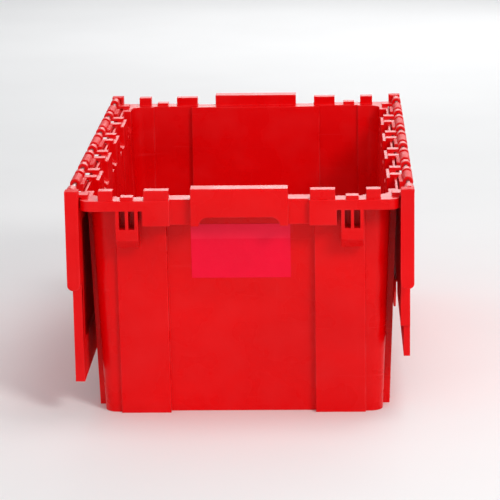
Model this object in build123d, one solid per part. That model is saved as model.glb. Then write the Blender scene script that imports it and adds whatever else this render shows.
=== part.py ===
"""Attached lid tote: a tapered tub with two half lids that swing on steel hinge rods.

X runs across the tote, Y along it, +Z up. The origin is the centre of the base.
The lids are built closed and then swung out to hang beside the tub, their rest pose.
"""
import os

from build123d import *

# ---------------------------------------------------------------- overall sizes, mm
WALL = 3.0
RIM_Z = 285.0
RIM_HALF_X = 197.0
RIM_HALF_Y = 341.0
RIM_CORNER = 14.0
LEDGE = 3.0
LIP_DROP = 13.0

# tub walls: half widths at the base and at the rim
BASE_HALF_X, TOP_HALF_X = 177.0, 187.0
BASE_HALF_Y, TOP_HALF_Y = 294.0, 314.0
BASE_CORNER, TOP_CORNER = 16.0, 20.0
FLOOR_Z = 5.5
FOOT_RECESS = 2.5
FOOT_WIDTH = 20.0

# end wall relief: a recessed centre panel between two raised bands
PANEL_HALF = 92.0
PANEL_DEPTH = 4.0
BAND_OUTER = 155.0
BAND_HEIGHT = 5.0

# long wall ribs
RIB_Y = (-245.0, -122.0, 0.0, 122.0, 245.0)
RIB_WIDTH = 28.0
RIB_HEIGHT = 9.0
SHORT_RIB_Y = (-122.0, 122.0)
SHORT_RIB_Z = 62.0
POCKET_HALF = 36.0
POCKET_Z = 262.0
POCKET_WALL = 3.5

# hinge
AXIS_X = 209.5
AXIS_Z = 291.0
ROD_R = 2.5
ROD_HALF = 322.0
PRESS_R = 2.48
RUN_R = 2.56
KNUCKLE_R = 6.5
TUB_KNUCKLE = 14.0
END_KNUCKLE_Y = (300.0, 320.0)
ARM_TOP_Z = 289.0
ARM_LOW_Z = 285.0
ARM_ROOT_Z = 272.0
ARM_START_X = 188.0
LID_KNUCKLE_HALF = 20.0

# end rim: heights and spans measured from the centre line
BLOCK_HALF = 60.0
BLOCK_Z = 300.0
BLOCK_Y = (322.0, 343.0)
BLOCK_SKIRT_Z = 253.0
GRIP_ARCH_Z = 264.0
GRIP_ARCH_HALF = 50.0
SETBACK_Y = 333.0
SETBACK_SPAN = (60.0, 86.0)
SKIRT_SPAN = (86.0, 120.0)
SKIRT_Z = 253.0
TAB_Z = 297.0
TAB_Y = (322.0, 336.5)
TAB_SPANS = ((87.0, 118.0), (156.0, 174.0))
POST_SPAN = (125.0, 153.0)
POST_Z = 223.0
POST_FOOT = 12.0
POST_SLOTS = ((129.5, 137.0), (141.0, 148.5))
POST_SLOT_Z = (249.0, 281.0)
POST_SLOT_Y = 319.0
BUMP_SPAN = (131.0, 147.0)
BUMP_Z = 289.0

# lid, in its closed pose: U is the distance from the hinge axis toward the middle,
# D the height above the hinge axis
PLATE = 3.0
HIGH_D = 11.0
LOW_D = 7.0
LID_HALF = 341.0
STRIP_U = (8.0, 40.0)
FIELD_HALF = 300.0
LID_END = 320.5
LIP_U = (-6.5, 119.5)
LIP_D = -5.5
LIP_CORNER = 7.0
CAP_Y = 325.0
TONGUE_U = (195.0, 242.5)
TONGUE_STEP = 34.5
TONGUE_SHORT_U = 212.5
SEAM_GAP = 1.5
SHELF_U = (172.0, 212.5)
SHELF_END = 316.0
EDGE_D = -1.0
LID_RIB_Y = (80.0, 160.0, 240.0)
LID_RIB_U = (150.0, 192.0)
LID_RIB_D = -3.0
OPEN_ANGLE = 270.0

# blank label on the recessed panel
LABEL_HALF = 62.0
LABEL_Z = (178.0, 248.0)
LABEL_T = 0.4

# construction allowances
OVER = 60.0
BITE = 1.0


# ---------------------------------------------------------------- small helpers
def block(x0, x1, y0, y1, z0, z1):
    """Box between two corners, given in any order."""
    centre = ((x0 + x1) / 2, (y0 + y1) / 2, (z0 + z1) / 2)
    return Pos(*centre) * Box(abs(x1 - x0), abs(y1 - y0), abs(z1 - z0))


def prism(points, direction):
    """Solid swept from a flat polygon along a vector."""
    wire = Wire.make_polygon([Vector(*point) for point in points], close=True)
    return Solid.extrude(Face(wire), Vector(*direction))


def prism_yz(points, x0, x1):
    return prism([(x0, y, z) for y, z in points], (x1 - x0, 0, 0))


def prism_xz(points, y0, y1):
    return prism([(x, y0, z) for x, z in points], (0, y1 - y0, 0))


def prism_xy(points, z0, z1):
    return prism([(x, y, z0) for x, y in points], (0, 0, z1 - z0))


def rod_y(radius, x, z, y0, y1):
    """Cylinder along Y."""
    place = Pos(x, (y0 + y1) / 2, z) * Rot(90, 0, 0)
    return place * Cylinder(radius, abs(y1 - y0))


def mirrored(shapes, plane):
    return list(shapes) + [mirror(shape, about=plane) for shape in shapes]


def four_ways(shapes):
    """Copies of each shape at all four corners."""
    return mirrored(mirrored(shapes, Plane.YZ), Plane.XZ)


def both_ends(shapes):
    return mirrored(shapes, Plane.XZ)


def wall_x(z):
    return BASE_HALF_X + (TOP_HALF_X - BASE_HALF_X) * z / RIM_Z


def wall_y(z):
    return BASE_HALF_Y + (TOP_HALF_Y - BASE_HALF_Y) * z / RIM_Z


def corner_r(z):
    return BASE_CORNER + (TOP_CORNER - BASE_CORNER) * z / RIM_Z


def tapered_box(z0, z1, inset):
    """Tapered box with rounded corners, its faces inset from the outer wall."""
    faces = []
    for z in (z0, z1):
        width = 2 * (wall_x(z) - inset)
        length = 2 * (wall_y(z) - inset)
        section = RectangleRounded(width, length, corner_r(z) - inset)
        faces.append((Pos(0, 0, z) * section).face())
    return Solid.make_loft([face.outer_wire() for face in faces], True)


# ---------------------------------------------------------------- tub walls
def end_layer(offset, inner_y, x0, x1, z0, z1):
    """Prism at the +Y end whose outer face follows the draft of the wall."""
    points = [
        (inner_y, z0),
        (wall_y(z0) + offset, z0),
        (wall_y(z1) + offset, z1),
        (inner_y, z1),
    ]
    return prism_yz(points, x0, x1)


def beyond_layer(offset, x0, x1, z0, z1):
    """Prism at the +Y end that holds everything outside an offset wall face."""
    points = [
        (wall_y(z0) + offset, z0),
        (TOP_HALF_Y + OVER, z0),
        (TOP_HALF_Y + OVER, z1),
        (wall_y(z1) + offset, z1),
    ]
    return prism_yz(points, x0, x1)


def end_bands(inset, z0, z1):
    inner_y = BASE_HALF_Y - OVER
    band = end_layer(
        BAND_HEIGHT - inset, inner_y, PANEL_HALF + inset, BAND_OUTER - inset, z0, z1
    )
    return four_ways([band])


def long_rib(y, inset, z0, z1):
    """Hollow rib on the +X wall; the short ones start part of the way up."""
    half = RIB_WIDTH / 2 - inset
    height = RIB_HEIGHT - inset
    inner_x = BASE_HALF_X - OVER
    start = z0
    points = [(inner_x, z0)]
    if y in SHORT_RIB_Y:
        start = SHORT_RIB_Z + inset
        foot = start - RIB_HEIGHT
        points = [(inner_x, foot), (wall_x(foot) - inset, foot)]
    points += [
        (wall_x(start) + height, start),
        (wall_x(z1) + height, z1),
        (inner_x, z1),
    ]
    return prism_xz(points, y - half, y + half)


def rim_pocket(y, inset, z1):
    """Widening of the wall above each rib, where a lid knuckle swings."""
    outer = RIM_HALF_X - inset
    inner_x = BASE_HALF_X
    low = POCKET_Z + inset
    points = [
        (inner_x, low - RIB_HEIGHT),
        (wall_x(low - RIB_HEIGHT) - inset, low - RIB_HEIGHT),
        (outer, low),
        (outer, z1),
        (inner_x, z1),
    ]
    half = POCKET_HALF - inset
    return prism_xz(points, y - half, y + half)


def walls():
    solid = tapered_box(0, RIM_Z, 0)
    sides = [long_rib(y, 0, 0, RIM_Z) for y in RIB_Y]
    sides += [rim_pocket(y, 0, RIM_Z) for y in RIB_Y]
    solid = solid.fuse(*end_bands(0, 0, RIM_Z), *mirrored(sides, Plane.YZ))
    recess = beyond_layer(-PANEL_DEPTH, -PANEL_HALF, PANEL_HALF, 0, RIM_Z)
    foot_x = BASE_HALF_X - FOOT_WIDTH
    foot_y = BASE_HALF_Y - FOOT_WIDTH
    foot = block(-foot_x, foot_x, -foot_y, foot_y, 0, FOOT_RECESS)
    return solid.cut(*both_ends([recess]), foot)


def cavity():
    top = RIM_Z + OVER
    solid = tapered_box(FLOOR_Z, top, WALL)
    sides = [long_rib(y, WALL, FLOOR_Z, top) for y in RIB_Y]
    sides += [rim_pocket(y, POCKET_WALL, top) for y in RIB_Y]
    solid = solid.fuse(*end_bands(WALL, FLOOR_Z, top), *mirrored(sides, Plane.YZ))
    half = PANEL_HALF + WALL
    bulge = beyond_layer(-PANEL_DEPTH - WALL, -half, half, FLOOR_Z, top)
    return solid.cut(*both_ends([bulge]))


# ---------------------------------------------------------------- end rim
def rim_outline(inset, z0, z1):
    section = RectangleRounded(
        2 * (RIM_HALF_X - inset), 2 * (RIM_HALF_Y - inset), RIM_CORNER - inset
    )
    return extrude(Pos(0, 0, z0) * section, z1 - z0)


def ledge():
    """Flat ledge and drop lip around both ends."""
    low = RIM_Z - LIP_DROP
    plate = rim_outline(0, RIM_Z - LEDGE, RIM_Z)
    lip = rim_outline(0, low, RIM_Z) - rim_outline(WALL, low, RIM_Z)
    ends = both_ends([
        block(-OVER * 4, OVER * 4, END_KNUCKLE_Y[0], RIM_HALF_Y + OVER, low, RIM_Z)
    ])
    gaps = [block(SETBACK_SPAN[0], SETBACK_SPAN[1], SETBACK_Y, RIM_HALF_Y + OVER, low, RIM_Z)]
    ring = plate + lip
    kept = [ring & end for end in ends]
    return (kept[0] + kept[1]).cut(*four_ways(gaps))


def skirts():
    """Hanging skirts either side of the grip, with returns back to the wall."""
    x0, x1 = SKIRT_SPAN
    outer = RIM_HALF_Y
    root = TOP_HALF_Y - WALL
    parts = [
        block(x0, x1, outer - WALL, outer, SKIRT_Z, RIM_Z),
        block(x0, x0 + WALL, SETBACK_Y - WALL, outer, SKIRT_Z, RIM_Z),
        block(x1 - WALL, x1, root, outer, SKIRT_Z, RIM_Z),
        block(SETBACK_SPAN[0], x0 + WALL, SETBACK_Y - WALL, SETBACK_Y, SKIRT_Z, RIM_Z),
    ]
    return four_ways(parts)


def grip():
    """Centre block of the end rim: an upside-down channel to lift by."""
    y0, y1 = BLOCK_Y
    shell = block(-BLOCK_HALF, BLOCK_HALF, y0, y1, BLOCK_SKIRT_Z, BLOCK_Z)
    hollow = block(
        -BLOCK_HALF + WALL, BLOCK_HALF - WALL, y0 + WALL, y1 - WALL,
        BLOCK_SKIRT_Z, BLOCK_Z - WALL,
    )
    below = block(
        -BLOCK_HALF, BLOCK_HALF, y0 - OVER, y0 + WALL, BLOCK_SKIRT_Z, RIM_Z - LEDGE
    )
    arch = block(
        -GRIP_ARCH_HALF, GRIP_ARCH_HALF, y1 - WALL - BITE, y1 + BITE,
        BLOCK_SKIRT_Z - BITE, GRIP_ARCH_Z,
    )
    arch = fillet(arch.edges().filter_by(Axis.Y).group_by(Axis.Z)[-1], GRIP_ARCH_Z - BLOCK_SKIRT_Z)
    return shell.cut(hollow, below, arch)


def grip_clearance():
    """Space under the grip, cut through the ledge so fingers reach up inside."""
    y0, y1 = BLOCK_Y
    return block(
        -BLOCK_HALF + WALL, BLOCK_HALF - WALL, y0 + WALL, y1 - WALL,
        RIM_Z - LIP_DROP, RIM_Z,
    )


def tabs():
    """Locating tabs that stand on the ledge under the closed lids."""
    y0, y1 = TAB_Y
    return four_ways([block(x0, x1, y0, y1, RIM_Z, TAB_Z) for x0, x1 in TAB_SPANS])


def tab_hollows():
    y0, y1 = TAB_Y
    return four_ways([
        block(x0 + WALL, x1 - WALL, y0 + WALL, y1 - WALL, RIM_Z - LEDGE, TAB_Z - WALL)
        for x0, x1 in TAB_SPANS
    ])


def post():
    """Hasp post under the ledge, with two slots in its face and a low bump on top."""
    x0, x1 = POST_SPAN
    root = BASE_HALF_Y
    outer = RIM_HALF_Y
    points = [
        (root, POST_Z),
        (outer - POST_FOOT, POST_Z),
        (outer, POST_Z + POST_FOOT),
        (outer, RIM_Z),
        (root, RIM_Z),
    ]
    solid = prism_yz(points, x0, x1)
    slots = [
        block(a, b, POST_SLOT_Y, outer + BITE, POST_SLOT_Z[0], POST_SLOT_Z[1])
        for a, b in POST_SLOTS
    ]
    bump = block(BUMP_SPAN[0], BUMP_SPAN[1], TAB_Y[0], TAB_Y[1], RIM_Z, BUMP_Z)
    return solid.cut(*slots).fuse(bump)


# ---------------------------------------------------------------- tub hinge
def tub_knuckle(y0, y1):
    """Arm from the rim out to a barrel around the rod."""
    root_x = TOP_HALF_X - WALL / 2
    points = [
        (root_x, ARM_ROOT_Z),
        (wall_x(ARM_ROOT_Z), ARM_ROOT_Z),
        (RIM_HALF_X, ARM_LOW_Z),
        (AXIS_X, ARM_LOW_Z),
        (AXIS_X, ARM_TOP_Z),
        (ARM_START_X, ARM_TOP_Z),
        (ARM_START_X, RIM_Z - BITE),
        (root_x, RIM_Z - BITE),
    ]
    return prism_xz(points, y0, y1).fuse(rod_y(KNUCKLE_R, AXIS_X, AXIS_Z, y0, y1))


def rim_saddles():
    """Flat tops of the wall between the pockets, and the knuckles they carry."""
    inner = TOP_HALF_X - WALL
    shapes = []
    for y_low, y_high in zip(RIB_Y[:-1], RIB_Y[1:]):
        y0 = y_low + POCKET_HALF - POCKET_WALL
        y1 = y_high - POCKET_HALF + POCKET_WALL
        shapes.append(block(inner, RIM_HALF_X, y0, y1, RIM_Z - LEDGE, RIM_Z))
        for start in (y0, y1 - TUB_KNUCKLE):
            shapes.append(tub_knuckle(start, start + TUB_KNUCKLE))
    corner_y0 = RIB_Y[-1] + POCKET_HALF - POCKET_WALL
    for side in (-1, 1):
        shapes.append(block(
            inner, RIM_HALF_X, side * corner_y0, side * TOP_HALF_Y, RIM_Z - LEDGE, RIM_Z
        ))
        y0, y1 = sorted(side * y for y in END_KNUCKLE_Y)
        shapes.append(tub_knuckle(y0, y1))
    return mirrored(shapes, Plane.YZ)


def make_tub():
    solid = walls().fuse(ledge(), *skirts(), *both_ends([grip()]), *tabs())
    solid = solid.fuse(*four_ways([post()]))
    solid = solid.cut(cavity(), *tab_hollows(), *both_ends([grip_clearance()]))
    solid = solid.fuse(*rim_saddles())
    bores = [rod_y(PRESS_R, x, AXIS_Z, -ROD_HALF, ROD_HALF) for x in (-AXIS_X, AXIS_X)]
    return solid.cut(*bores)


# ---------------------------------------------------------------- lids
def high_plate():
    """Raised border of the lid, with the long tongue on the +Y half."""
    outline = [
        (STRIP_U[0], -LID_HALF),
        (LIP_U[1], -LID_HALF),
        (LIP_U[1], -LID_END),
        (SHELF_U[0], -LID_END),
        (SHELF_U[0], -FIELD_HALF),
        (STRIP_U[1], -FIELD_HALF),
        (STRIP_U[1], FIELD_HALF),
        (TONGUE_U[0], FIELD_HALF),
        (TONGUE_U[0], SEAM_GAP),
        (TONGUE_SHORT_U, SEAM_GAP),
        (TONGUE_U[1], SEAM_GAP + TONGUE_STEP),
        (TONGUE_U[1], LID_END),
        (LIP_U[1], LID_END),
        (LIP_U[1], LID_HALF),
        (STRIP_U[0], LID_HALF),
    ]
    return prism_xy([(-u, y) for u, y in outline], HIGH_D - PLATE, HIGH_D)


def low_plate():
    """Sunken field of the lid, with the shelf on the -Y half."""
    inner = STRIP_U[1] - PLATE
    edge = FIELD_HALF + PLATE
    outline = [
        (inner, -edge),
        (SHELF_U[0] - PLATE, -edge),
        (SHELF_U[0] - PLATE, -SHELF_END),
        (SHELF_U[1], -SHELF_END),
        (SHELF_U[1], -SEAM_GAP),
        (TONGUE_U[0] + PLATE, -SEAM_GAP),
        (TONGUE_U[0] + PLATE, edge),
        (inner, edge),
    ]
    return prism_xy([(-u, y) for u, y in outline], LOW_D - PLATE, LOW_D)


def lid_box(u0, u1, y0, y1, d0, d1):
    return block(-u0, -u1, y0, y1, d0, d1)


def lid_walls():
    """Thin walls that join the two levels and stiffen the edges."""
    low = LOW_D - PLATE
    strip = STRIP_U[1]
    tongue = TONGUE_U[0]
    shelf = SHELF_U[0]
    edge = FIELD_HALF + PLATE
    return [
        lid_box(strip - PLATE, strip, -edge, edge, low, HIGH_D),
        lid_box(strip - PLATE, tongue + PLATE, FIELD_HALF, edge, low, HIGH_D),
        lid_box(strip - PLATE, shelf, -edge, -FIELD_HALF, low, HIGH_D),
        lid_box(tongue, tongue + PLATE, SEAM_GAP, edge, low, HIGH_D),
        lid_box(shelf - PLATE, shelf, -LID_END, -FIELD_HALF, low, HIGH_D),
        lid_box(LIP_U[1] - PLATE, TONGUE_U[1], LID_END - PLATE, LID_END, EDGE_D, HIGH_D),
        lid_box(LIP_U[1] - PLATE, shelf, -LID_END, -LID_END + PLATE, EDGE_D, HIGH_D),
        lid_box(shelf - PLATE, SHELF_U[1], -SHELF_END, -SHELF_END + PLATE, EDGE_D, LOW_D),
        lid_box(SHELF_U[1] - PLATE, SHELF_U[1], -SHELF_END, -SEAM_GAP, EDGE_D, LOW_D),
    ]


def end_lip():
    """Drop lip across the +Y end, rounded where it stops, with a cap at the rod end."""
    u0, u1 = LIP_U
    outer, inner = LID_HALF, LID_HALF - PLATE
    lip = lid_box(u0, u1, inner, outer, LIP_D, HIGH_D)
    rounded = lip.edges().filter_by(Axis.Y).group_by(Axis.X)[0]
    lip = fillet(rounded, LIP_CORNER)
    cap_top = lid_box(u0, STRIP_U[0] + BITE, CAP_Y, outer, HIGH_D - PLATE, HIGH_D)
    cap_side = lid_box(u0, u0 + PLATE, CAP_Y, outer, LIP_D, HIGH_D)
    return lip.fuse(cap_top, cap_side)


def lip_corner_cut():
    """Rounds the top corner of the border plate to match the lip."""
    u1 = LIP_U[1]
    corner = lid_box(
        u1 - LIP_CORNER, u1 + BITE, LID_END, LID_HALF + BITE,
        HIGH_D - LIP_CORNER, HIGH_D + BITE,
    )
    round_off = rod_y(LIP_CORNER, LIP_CORNER - u1, HIGH_D - LIP_CORNER, LID_END, LID_HALF + OVER)
    return corner - round_off


def lid_knuckle(y):
    y0, y1 = y - LID_KNUCKLE_HALF, y + LID_KNUCKLE_HALF
    root = -STRIP_U[0] - BITE
    arm = prism_xz([(0, 0), (0, HIGH_D), (root, HIGH_D), (root, 0)], y0, y1)
    return rod_y(KNUCKLE_R, 0, 0, y0, y1).fuse(arm)


def lid_ribs():
    """Short ribs under the free edge."""
    u0, u1 = LID_RIB_U
    low = LOW_D - PLATE
    shapes = []
    for y in LID_RIB_Y:
        for side in (-1, 1):
            mid = side * y
            shapes.append(
                lid_box(u0, u1, mid - PLATE / 2, mid + PLATE / 2, LID_RIB_D, low)
            )
    return shapes


def make_lid_closed():
    """Lid in its own frame: hinge axis along Y through the origin, reaching to -X."""
    ends = both_ends([end_lip()])
    solid = high_plate().fuse(low_plate(), *lid_walls(), *ends, *lid_ribs())
    solid = solid.fuse(*[lid_knuckle(y) for y in RIB_Y])
    solid = solid.cut(*both_ends([lip_corner_cut()]))
    return solid.cut(rod_y(RUN_R, 0, 0, -ROD_HALF, ROD_HALF))


def make_lid_right():
    hanging = Rot(0, OPEN_ANGLE, 0) * make_lid_closed()
    return Pos(AXIS_X, 0, AXIS_Z) * hanging


# ---------------------------------------------------------------- rods and label
def make_rod(x):
    return rod_y(ROD_R, x, AXIS_Z, -ROD_HALF, ROD_HALF)


def make_label():
    z0, z1 = LABEL_Z
    face = -PANEL_DEPTH
    points = [
        (wall_y(z0) + face, z0),
        (wall_y(z1) + face, z1),
        (wall_y(z1) + face + LABEL_T, z1),
        (wall_y(z0) + face + LABEL_T, z0),
    ]
    return mirror(prism_yz(points, -LABEL_HALF, LABEL_HALF), about=Plane.XZ)


# ---------------------------------------------------------------- output
def main():
    os.makedirs("parts", exist_ok=True)
    lid = make_lid_right()
    nodes = {
        "tub": make_tub(),
        "lid_right": lid,
        "lid_left": Rot(0, 0, 180) * lid,
        "hinge_rod_right": make_rod(AXIS_X),
        "hinge_rod_left": make_rod(-AXIS_X),
        "end_label": make_label(),
    }
    for name, shape in nodes.items():
        export_step(shape, "parts/" + name + ".step")


main()
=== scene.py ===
"""Studio view of an open attached lid tote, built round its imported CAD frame."""

import math

import bpy
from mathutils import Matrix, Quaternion, Vector

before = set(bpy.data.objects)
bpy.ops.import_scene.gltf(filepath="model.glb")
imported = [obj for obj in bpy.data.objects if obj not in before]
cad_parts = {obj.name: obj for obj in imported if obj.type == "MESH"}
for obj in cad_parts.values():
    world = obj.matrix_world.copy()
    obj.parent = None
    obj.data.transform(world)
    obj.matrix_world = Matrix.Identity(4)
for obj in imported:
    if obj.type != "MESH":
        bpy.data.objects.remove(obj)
for spare in ("Cube", "Camera", "Light"):
    if spare in bpy.data.objects:
        bpy.data.objects.remove(bpy.data.objects[spare], do_unlink=True)
bpy.context.view_layer.update()
scene = bpy.context.scene

# Camera: places in metres from the centre of the tote's base
CAMERA_AT = Vector((0.119, -3.200, 0.915))
AIM_AT = Vector((0.000, 0.000, 0.140))
ROLL_DEG = -0.9
LENS_MM = 172.0
SENSOR_MM = 36.0
CLIP = (0.05, 60.0)

# Edges as shape: widths in metres
EDGE_ROUND = {"tub": 0.0006, "lid_left": 0.0004, "lid_right": 0.0004}
EDGE_STEPS = 2
EDGE_ANGLE_DEG = 32.0
WELD_AT = 0.00002
FLAT_WEIGHT = 90

# Edges as shading: radii in metres, and the normals' dot product at a full edge and at none
EDGE_SHEEN = 0.0011
EDGE_WORN = 0.0030
EDGE_DOT = (0.80, 0.995)
EDGE_SAMPLES = 4

# Red polypropylene
RED = (0.80, 0.0, 0.0015, 1.0)
RED_DEEP = (0.55, 0.0, 0.001, 1.0)
RED_HAZE = (0.86, 0.060, 0.065, 1.0)
TUB_ROUGH = (0.24, 0.34)
LID_ROUGH = (0.42, 0.54)
RUB_COLOUR = 0.18
RUB_ROUGH = 0.22
WORN_COLOUR = 0.42
WORN_ROUGH = 0.12
SCATTER = (0.006, 0.0006, 0.0004)

# Noise patterns: scale, detail, roughness, stretch
FLOW = (4.0, 2.0, 0.5, (1.0, 1.0, 2.2))
MOTTLE = (24.0, 2.0, 0.5)
STREAK = (9.0, 5.0, 0.62, (1.0, 1.0, 26.0))
UPRIGHT = (9.0, 5.0, 0.62, (22.0, 22.0, 1.0))
PEEL = (430.0, 2.0, 0.5)
WAVES = (11.0, 1.0, 0.4)
FIBRE = (300.0, 4.0, 0.6, (1.0, 1.0, 3.0))
STAIN = (22.0, 3.0, 0.5)
DRAWN = (700.0, 3.0, 0.6, (1.0, 0.02, 1.0))
TARNISH = (45.0, 3.0, 0.6)
FLOOR_TONE = (1.4, 3.0, 0.5)

# Masks over a pattern: the most it gives, and the pattern's value where it starts and is full
DEEP_MASK = (0.40, 0.35, 0.70)
HAZE_MASK = (0.06, 0.45, 0.75)
ALONG_MASK = (1.0, 0.62, 0.78)
UPRIGHT_MASK = (1.0, 0.64, 0.80)
PATCH_MASK = (1.0, 0.42, 0.62)
STAIN_MASK = (0.35, 0.45, 0.8)
FIBRE_MASK = (0.10, 0.5, 0.9)
TARNISH_MASK = (0.5, 0.45, 0.8)

# The same with the least it gives first, and the stretch of mottle that roughness follows
WORN_PATCH = (0.2, 1.0, 0.40, 0.65)
ROUGH_STRETCH = (0.3, 0.7)

# Bumps: strength, and depth in metres
PEEL_BUMP = (0.22, 0.0004)
WAVES_BUMP = (0.22, 0.0010)
CARD_BUMP = (0.10, 0.0002)
ROD_BUMP = (0.12, 0.0001)

# Label card and rods
LABEL_RED = (0.88, 0.0, 0.030, 1.0)
LABEL_BAND = (0.92, 0.010, 0.048, 1.0)
LABEL_STAIN = (0.72, 0.0, 0.02, 1.0)
LABEL_FIBRE = (0.82, 0.12, 0.15, 1.0)
LABEL_BAND_Z = (0.2285, 0.2295)
LABEL_ROUGH = (0.40, 0.55)
STEEL = (0.46, 0.45, 0.44, 1.0)
STEEL_DARK = (0.20, 0.17, 0.15, 1.0)
STEEL_ROUGH = (0.22, 0.42)

# Surroundings
HORIZON = (0.06, 0.45)
HORIZON_TONE = (0.80, 0.81, 0.83, 1.0)
ZENITH_TONE = (0.50, 0.505, 0.515, 1.0)
FLOOR_HALF = 14.0
FLOOR_ROUGH = 0.75
FLOOR_STOPS = ((0.3, (0.86, 0.86, 0.86, 1.0)), (0.7, (0.91, 0.91, 0.91, 1.0)))

# Area lights: name, place, aim, size, watts, colour
WHITE = (1.0, 1.0, 1.0)
LIGHTS = (
    ("key", (1.7, -2.5, 2.2), (0, 0, 0.12), (0.8, 0.8), 46.0, (1.0, 0.985, 0.96)),
    ("front", (-1.4, -3.0, 1.3), (0, 0, 0.15), (1.8, 1.2), 8.0, WHITE),
    ("top", (0.6, -0.2, 2.4), (0.1, 0.1, 0.0), (0.9, 0.9), 12.0, WHITE),
    ("back", (0.9, 3.4, 1.5), (0, 0, 0.25), (3.2, 1.2), 36.0, WHITE),
)

# Places of a colour Mix node's sockets
COLOUR_MIX_INPUTS = (0, 6, 7)
COLOUR_MIX_OUTPUT = 2


class Nodes:
    """A short way to write a node tree."""

    def __init__(self, name):
        self.mat = bpy.data.materials.new(name)
        self.mat.use_nodes = True
        self.tree = self.mat.node_tree
        self.shader = self.tree.nodes["Principled BSDF"]
        self.point = self.add("ShaderNodeTexCoord").outputs["Object"]

    def add(self, kind, **values):
        node = self.tree.nodes.new(kind)
        for key, value in values.items():
            setattr(node, key, value)
        return node

    def link(self, source, socket):
        self.tree.links.new(source, socket)

    def feed(self, value, socket):
        """Sets a constant on the socket, or links another node's output to it."""
        if isinstance(value, (float, tuple)):
            socket.default_value = value
        else:
            self.link(value, socket)

    def shade(self, **values):
        """Feeds the main shader; an underscore in a name stands for a space."""
        for name, value in values.items():
            self.feed(value, self.shader.inputs[name.replace("_", " ")])

    def noise(self, scale, detail, roughness, stretch=(1, 1, 1)):
        mapping = self.add("ShaderNodeMapping")
        mapping.inputs["Scale"].default_value = stretch
        self.link(self.point, mapping.inputs["Vector"])
        node = self.add("ShaderNodeTexNoise")
        node.inputs["Scale"].default_value = scale
        node.inputs["Detail"].default_value = detail
        node.inputs["Roughness"].default_value = roughness
        self.link(mapping.outputs["Vector"], node.inputs["Vector"])
        return node.outputs["Fac"]

    def ramp(self, source, stops):
        node = self.add("ShaderNodeValToRGB")
        for element, (place, colour) in zip(node.color_ramp.elements, stops):
            element.position = place
            element.color = colour
        self.link(source, node.inputs["Fac"])
        return node.outputs["Color"]

    def grey(self, source, low, high, start=0.0, end=1.0):
        """Maps start..end of the source to low..high."""
        node = self.add("ShaderNodeMapRange")
        node.inputs["From Min"].default_value = start
        node.inputs["From Max"].default_value = end
        node.inputs["To Min"].default_value = low
        node.inputs["To Max"].default_value = high
        self.link(source, node.inputs["Value"])
        return node.outputs["Result"]

    def mask(self, source, most, start, end):
        """Rises from 0 to most where the source goes from start to end."""
        return self.grey(source, 0.0, most, start, end)

    def mix(self, amount, first, second):
        node = self.add("ShaderNodeMix", data_type="RGBA")
        factor, colour_a, colour_b = (node.inputs[place] for place in COLOUR_MIX_INPUTS)
        self.feed(amount, factor)
        self.feed(first, colour_a)
        self.feed(second, colour_b)
        return node.outputs[COLOUR_MIX_OUTPUT]

    def maths(self, kind, first, second):
        node = self.add("ShaderNodeMath", operation=kind, use_clamp=True)
        self.feed(first, node.inputs[0])
        self.feed(second, node.inputs[1])
        return node.outputs["Value"]

    def bump(self, height, strength, distance, under=None):
        node = self.add("ShaderNodeBump")
        node.inputs["Strength"].default_value = strength
        node.inputs["Distance"].default_value = distance
        self.link(height, node.inputs["Height"])
        if under is not None:
            self.link(under, node.inputs["Normal"])
        return node.outputs["Normal"]

    def rounded(self, radius):
        """Normal that turns smoothly over an edge."""
        node = self.add("ShaderNodeBevel", samples=EDGE_SAMPLES)
        node.inputs["Radius"].default_value = radius
        return node.outputs["Normal"]

    def edges(self, radius):
        """About 1 on a sharp outer or inner edge and 0 on a flat face."""
        true = self.add("ShaderNodeNewGeometry")
        dot = self.add("ShaderNodeVectorMath", operation="DOT_PRODUCT")
        self.link(self.rounded(radius), dot.inputs[0])
        self.link(true.outputs["Normal"], dot.inputs[1])
        return self.grey(dot.outputs["Value"], 1.0, 0.0, *EDGE_DOT)


# ---------------------------------------------------------------- materials
def plastic(name, rough_range):
    """Glossy moulded polypropylene with flow marks, scuffs and rubbed edges."""
    n = Nodes(name)
    flow = n.noise(*FLOW)
    mottle = n.noise(*MOTTLE)
    along = n.mask(n.noise(*STREAK), *ALONG_MASK)
    upright = n.mask(n.noise(*UPRIGHT), *UPRIGHT_MASK)
    rubs = n.maths("MAXIMUM", along, upright)
    rubs = n.maths("MULTIPLY", rubs, n.mask(flow, *PATCH_MASK))
    worn = n.maths("MULTIPLY", n.edges(EDGE_WORN), n.grey(mottle, *WORN_PATCH))
    colour = n.mix(n.mask(flow, *DEEP_MASK), RED, RED_DEEP)
    colour = n.mix(n.mask(mottle, *HAZE_MASK), colour, RED_HAZE)
    colour = n.mix(n.maths("MULTIPLY", rubs, RUB_COLOUR), colour, RED_HAZE)
    colour = n.mix(n.maths("MULTIPLY", worn, WORN_COLOUR), colour, RED_HAZE)
    rough = n.grey(mottle, *rough_range, *ROUGH_STRETCH)
    rough = n.maths("ADD", rough, n.maths("MULTIPLY", rubs, RUB_ROUGH))
    rough = n.maths("ADD", rough, n.maths("MULTIPLY", worn, WORN_ROUGH))
    peel = n.bump(n.noise(*PEEL), *PEEL_BUMP, n.rounded(EDGE_SHEEN))
    waves = n.bump(n.noise(*WAVES), *WAVES_BUMP, peel)
    n.shade(
        Base_Color=colour, Roughness=rough, Normal=waves, IOR=1.45, Specular_IOR_Level=0.18,
        Subsurface_Weight=0.08, Subsurface_Radius=SCATTER, Subsurface_Scale=1.0,
    )
    return n.mat


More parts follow.
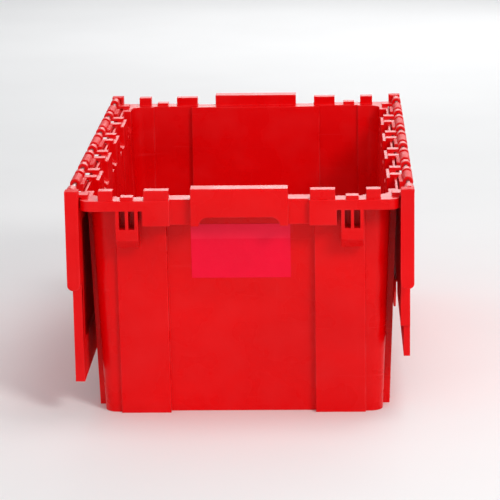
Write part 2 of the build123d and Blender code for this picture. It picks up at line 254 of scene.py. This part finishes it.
def paper(name):
    """Blank laminated card with a lighter upper band."""
    n = Nodes(name)
    fibre = n.noise(*FIBRE)
    stain = n.noise(*STAIN)
    height = n.add("ShaderNodeSeparateXYZ")
    n.link(n.point, height.inputs["Vector"])
    band = n.mask(height.outputs["Z"], 1.0, *LABEL_BAND_Z)
    colour = n.mix(band, LABEL_RED, LABEL_BAND)
    colour = n.mix(n.mask(stain, *STAIN_MASK), colour, LABEL_STAIN)
    colour = n.mix(n.mask(fibre, *FIBRE_MASK), colour, LABEL_FIBRE)
    rough = n.grey(stain, *LABEL_ROUGH)
    skin = n.bump(fibre, *CARD_BUMP)
    n.shade(Base_Color=colour, Roughness=rough, Normal=skin, Specular_IOR_Level=0.15)
    return n.mat


def steel(name):
    """Drawn steel rod with fine length-wise lines."""
    n = Nodes(name)
    drawn = n.noise(*DRAWN)
    tarnish = n.noise(*TARNISH)
    colour = n.mix(n.mask(tarnish, *TARNISH_MASK), STEEL, STEEL_DARK)
    rough = n.grey(drawn, *STEEL_ROUGH)
    lines = n.bump(drawn, *ROD_BUMP)
    n.shade(Base_Color=colour, Roughness=rough, Normal=lines, Metallic=1.0)
    return n.mat


def finish_node(node, material):
    """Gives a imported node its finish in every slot."""
    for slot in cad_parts[node].material_slots:
        slot.material = material


def soften(node, width):
    """Rounds a moulded node's edges."""
    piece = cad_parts[node]
    weld = piece.modifiers.new("join", "WELD")
    weld.merge_threshold = WELD_AT
    bevel = piece.modifiers.new("edges", "BEVEL")
    bevel.width = width
    bevel.segments = EDGE_STEPS
    bevel.limit_method = "ANGLE"
    bevel.angle_limit = math.radians(EDGE_ANGLE_DEG)
    bevel.use_clamp_overlap = False
    normals = piece.modifiers.new("shading", "WEIGHTED_NORMAL")
    normals.keep_sharp = False
    normals.weight = FLAT_WEIGHT


# ---------------------------------------------------------------- surroundings
def add_camera():
    """Looks at the tote from the front, a little right of centre and above."""
    data = bpy.data.cameras.new("camera")
    data.lens = LENS_MM
    data.sensor_width = SENSOR_MM
    data.clip_start, data.clip_end = CLIP
    camera = bpy.data.objects.new("camera", data)
    scene.collection.objects.link(camera)
    turn = (AIM_AT - CAMERA_AT).to_track_quat("-Z", "Y").to_matrix()
    view_axis = turn @ Vector((0, 0, 1))
    roll = Quaternion(view_axis, math.radians(ROLL_DEG))
    camera.rotation_mode = "QUATERNION"
    camera.rotation_quaternion = roll @ turn.to_quaternion()
    camera.location = CAMERA_AT
    scene.camera = camera


def add_light(name, place, aim, size, power, colour):
    """One soft area light."""
    data = bpy.data.lights.new(name, "AREA")
    data.shape = "RECTANGLE"
    data.size, data.size_y = size
    data.energy = power
    data.color = colour
    lamp = bpy.data.objects.new(name, data)
    lamp.location = place
    lamp.rotation_mode = "QUATERNION"
    lamp.rotation_quaternion = (Vector(aim) - Vector(place)).to_track_quat("-Z", "Y")
    scene.collection.objects.link(lamp)


def add_floor():
    """A wide pale floor with a faint tone."""
    half = FLOOR_HALF
    mesh = bpy.data.meshes.new("studio_floor")
    corners = [(-half, -half, 0), (half, -half, 0), (half, half, 0), (-half, half, 0)]
    mesh.from_pydata(corners, [], [(0, 1, 2, 3)])
    floor = bpy.data.objects.new("studio_floor", mesh)
    scene.collection.objects.link(floor)
    n = Nodes("pale_floor")
    n.shade(Base_Color=n.ramp(n.noise(*FLOOR_TONE), FLOOR_STOPS), Roughness=FLOOR_ROUGH)
    mesh.materials.append(n.mat)


def add_world():
    """Pale surroundings, brightest at and below the horizon."""
    world = bpy.data.worlds.new("studio")
    world.use_nodes = True
    tree = world.node_tree
    sky = tree.nodes["Background"]
    around = tree.nodes.new("ShaderNodeTexCoord")
    height = tree.nodes.new("ShaderNodeSeparateXYZ")
    ramp = tree.nodes.new("ShaderNodeValToRGB")
    tree.links.new(around.outputs["Generated"], height.inputs["Vector"])
    tree.links.new(height.outputs["Z"], ramp.inputs["Fac"])
    tree.links.new(ramp.outputs["Color"], sky.inputs["Color"])
    for element, place, tone in zip(
        ramp.color_ramp.elements, HORIZON, (HORIZON_TONE, ZENITH_TONE)
    ):
        element.position = place
        element.color = tone
    sky.inputs["Strength"].default_value = 1.0
    scene.world = world


# ---------------------------------------------------------------- the scene
tub_red = plastic("tote_red", TUB_ROUGH)
lid_red = plastic("lid_red", LID_ROUGH)
card = paper("label_card")
rod = steel("rod_steel_drawn")
finish_node("tub", tub_red)
finish_node("lid_left", lid_red)
finish_node("lid_right", lid_red)
finish_node("end_label", card)
finish_node("hinge_rod_left", rod)
finish_node("hinge_rod_right", rod)
for node, width in EDGE_ROUND.items():
    soften(node, width)

add_camera()
for light in LIGHTS:
    add_light(*light)
add_floor()
add_world()
scene.view_settings.view_transform = "Standard"
